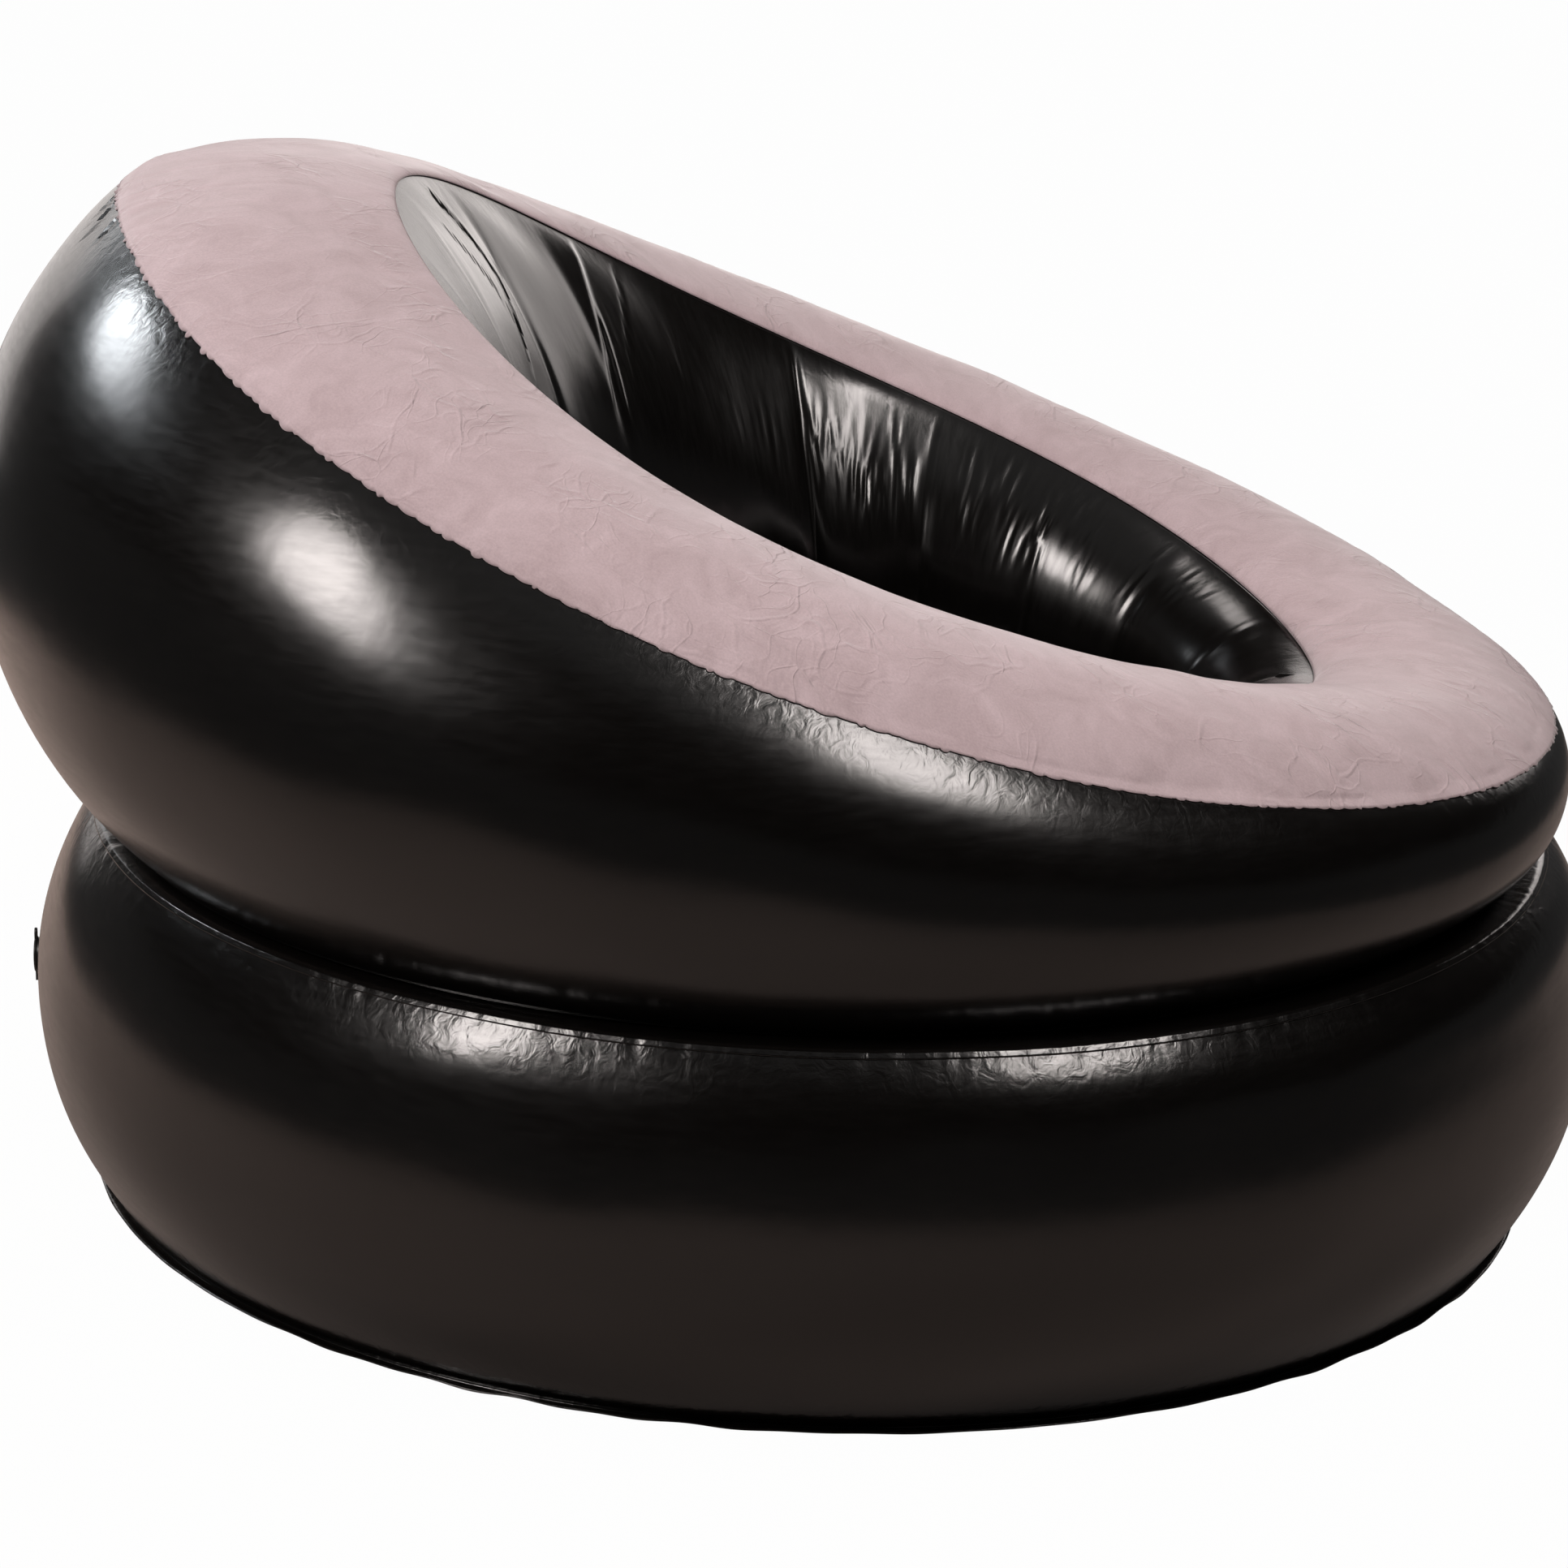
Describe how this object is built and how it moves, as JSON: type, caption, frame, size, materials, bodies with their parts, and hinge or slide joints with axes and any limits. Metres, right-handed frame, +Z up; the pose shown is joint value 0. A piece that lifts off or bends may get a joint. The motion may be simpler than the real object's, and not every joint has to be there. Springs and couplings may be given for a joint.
{
  "type": "inflatable chair",
  "caption": "Round inflatable armchair: a thick air base that is the seat, and a tilted air ring with a flocked top that makes arms and back, each with its own air valve.",
  "frame": {"origin": "middle of the base's underside, on the floor", "axes": "+Z up, +Y from the low front to the high back, +X to the sitter's left"},
  "size_m": [1.0978, 1.1502, 0.7076],
  "materials": {
    "black_film": "calendered vinyl film, glossy, black with a brown cast",
    "inner_film": "vinyl film, satin, black",
    "flock": "short dusty pink rayon flock on vinyl film",
    "valve_vinyl": "moulded soft vinyl, satin, black",
    "flap_vinyl": "thin clear vinyl, milky"
  },
  "bodies": {
    "chair": {"base_bottom_sheet": "black_film", "base_wall": "black_film", "base_top_sheet": "black_film", "base_tie_1": "inner_film", "base_tie_2": "inner_film", "base_tie_3": "inner_film", "base_tie_4": "inner_film", "base_tie_5": "inner_film", "base_tie_6": "inner_film", "ring_bottom_sheet": "inner_film", "ring_outer_wall": "black_film", "ring_inner_wall": "black_film", "flocked_top": "flock", "ring_rib_01": "inner_film", "ring_rib_02": "inner_film", "ring_rib_03": "inner_film", "ring_rib_04": "inner_film", "ring_rib_05": "inner_film", "ring_rib_06": "inner_film", "ring_rib_07": "inner_film", "ring_rib_08": "inner_film", "ring_rib_09": "inner_film", "ring_rib_10": "inner_film", "ring_rib_11": "inner_film", "ring_rib_12": "inner_film", "ring_rib_13": "inner_film", "ring_rib_14": "inner_film", "ring_rib_15": "inner_film", "ring_rib_16": "inner_film", "ring_rib_17": "inner_film", "ring_rib_18": "inner_film", "base_valve_body": "valve_vinyl", "base_valve_strap": "valve_vinyl", "ring_valve_body": "valve_vinyl", "ring_valve_strap": "valve_vinyl"},
    "base_cap": {"base_valve_cap": "valve_vinyl"},
    "base_flap": {"base_valve_flap": "flap_vinyl"},
    "ring_cap": {"ring_valve_cap": "valve_vinyl"},
    "ring_flap": {"ring_valve_flap": "flap_vinyl"}
  },
  "joints": [
    {"name": "base_valve_cap_swing", "type": "hinge", "parent": "chair", "child": "base_cap", "pos_m": [-0.03203, 0.54991, 0.11007], "axis": [-0.9983, -0.0581, 0], "range_deg": [0, 120]},
    {"name": "base_valve_flap_swing", "type": "hinge", "parent": "chair", "child": "base_flap", "pos_m": [-0.03118, 0.5354, 0.14013], "axis": [-0.9983, -0.0581, 0], "range_deg": [0, 60], "stiffness_Nm_per_rad": 0.0005, "springref_deg": -8.59},
    {"name": "ring_valve_cap_swing", "type": "hinge", "parent": "chair", "child": "ring_cap", "pos_m": [-0.03448, 0.59595, 0.45958], "axis": [-0.9979, -0.0651, 0], "range_deg": [0, 120]},
    {"name": "ring_valve_flap_swing", "type": "hinge", "parent": "chair", "child": "ring_flap", "pos_m": [-0.03343, 0.57995, 0.48887], "axis": [-0.9979, -0.0651, 0], "range_deg": [0, 60], "stiffness_Nm_per_rad": 0.0005, "springref_deg": -8.59}
  ]
}
